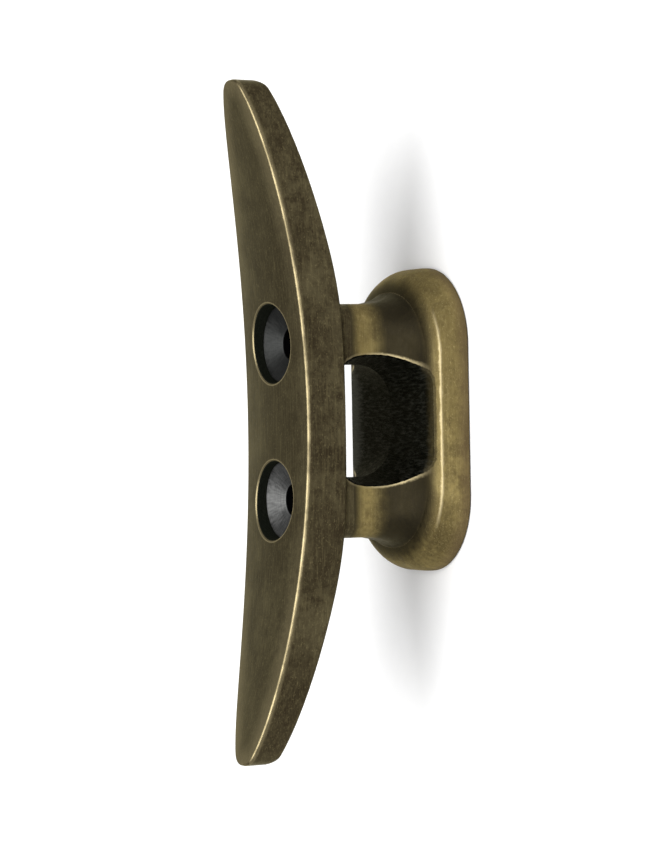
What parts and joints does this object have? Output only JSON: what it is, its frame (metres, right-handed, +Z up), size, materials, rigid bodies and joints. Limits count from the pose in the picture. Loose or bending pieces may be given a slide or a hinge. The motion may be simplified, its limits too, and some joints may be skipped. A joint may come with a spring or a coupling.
{
  "type": "cleat horn",
  "caption": "Horn cleat: a long upswept bar on a two-legged pedestal with an eye between the legs, for belaying rope on a boat or dock.",
  "frame": {"origin": "centre of the foot's mounting face", "axes": "+X along the horns, +Z up from the mounting face, Y across the bar"},
  "size_m": [0.1, 0.027, 0.0318],
  "materials": {
    "aged_brass_bar": "aged, brushed along the bar, bright at worn edges",
    "aged_brass_pedestal": "aged, brushed, dark inside the eye",
    "dark_steel": "turned seat, dark grey"
  },
  "bodies": {
    "root": {"horn_bar": "aged_brass_bar", "pedestal": "aged_brass_pedestal", "rivets": "dark_steel"}
  },
  "joints": []
}
